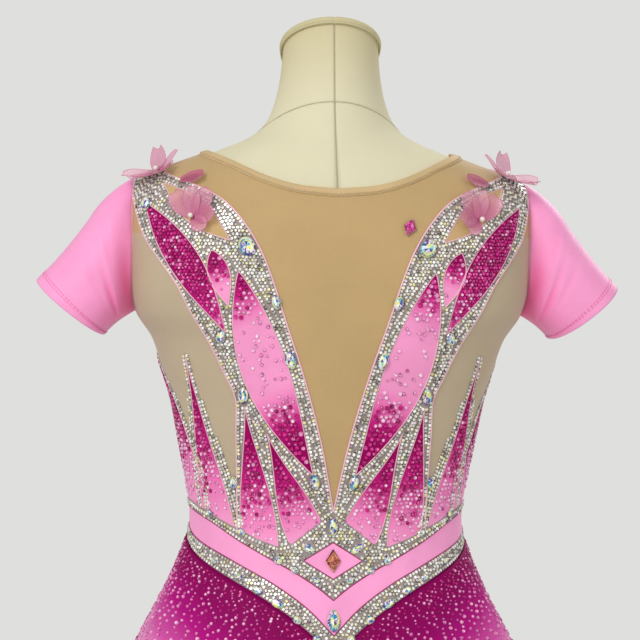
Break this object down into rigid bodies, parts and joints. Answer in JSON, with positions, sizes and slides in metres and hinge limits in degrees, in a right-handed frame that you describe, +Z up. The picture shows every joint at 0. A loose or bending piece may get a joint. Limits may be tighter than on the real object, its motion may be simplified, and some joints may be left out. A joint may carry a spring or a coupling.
{
  "type": "rhythmic gymnastics leotard on a limbless dress form",
  "caption": "Short-sleeved leotard with a deep V back, crystal bands, a pointed waist and a flared skirt, worn by a limbless dress form.",
  "frame": {"origin": "on the floor, in the middle of the part's box, between the two flat feet of the form", "axes": "+Z up, -Y the garment's back, which the picture shows, +X the right of the garment seen from behind"},
  "size_m": [0.497, 0.259, 0.7284],
  "materials": {
    "linen": "matt cream cotton jersey over a smooth form, with sewn seams",
    "cap": "worn tan cloth over a padded neck cap",
    "mesh": "sheer nude stretch mesh",
    "nude": "opaque nude stretch cloth with pointed pink gores",
    "binding": "folded nude binding with a zigzag stitch",
    "crystal": "cloth covered in small foil-backed crystals, with pink to magenta cells",
    "pink": "smooth pink stretch jersey with a soft sheen",
    "magenta": "magenta stretch mesh dyed lighter towards the hem, with scattered crystals",
    "petal": "sheer pink organza petals",
    "pearl": "pearl bead",
    "stone": "clear cut stone with a rainbow coating",
    "amber": "amber cut stone"
  },
  "bodies": {
    "root": {"back_brief": "magenta", "back_mesh_yoke": "mesh", "back_skirt": "magenta", "back_waist_yoke": "pink", "back_wing_left": "crystal", "back_wing_right": "crystal", "flower_lower_left": "petal", "flower_lower_right": "petal", "flower_upper_left": "petal", "flower_upper_right": "petal", "form_body": "linen", "form_neck_cap": "cap", "front_brief": "magenta", "front_mesh_yoke": "mesh", "front_skirt": "magenta", "front_waist_yoke": "pink", "front_wing_left": "crystal", "front_wing_right": "crystal", "gusset": "magenta", "neck_binding": "binding", "pearl_lower_left": "pearl", "pearl_lower_right": "pearl", "pearl_upper_left": "pearl", "pearl_upper_right": "pearl", "side_panel_left": "nude", "side_panel_right": "nude", "sleeve_left": "pink", "sleeve_right": "pink", "stone_centre": "stone", "stone_diamond": "amber", "stone_drop": "stone", "stone_fork_left": "stone", "stone_fork_right": "stone", "stone_outer_left": "stone", "stone_outer_right": "stone", "stone_oval_left": "stone", "stone_oval_right": "stone", "stone_side_left": "stone", "stone_side_right": "stone", "stone_v_lower_left": "stone", "stone_v_lower_right": "stone", "stone_v_middle_left": "stone", "stone_v_middle_right": "stone", "stone_v_upper_left": "stone", "stone_v_upper_right": "stone", "stone_yoke": "stone"}
  },
  "joints": []
}
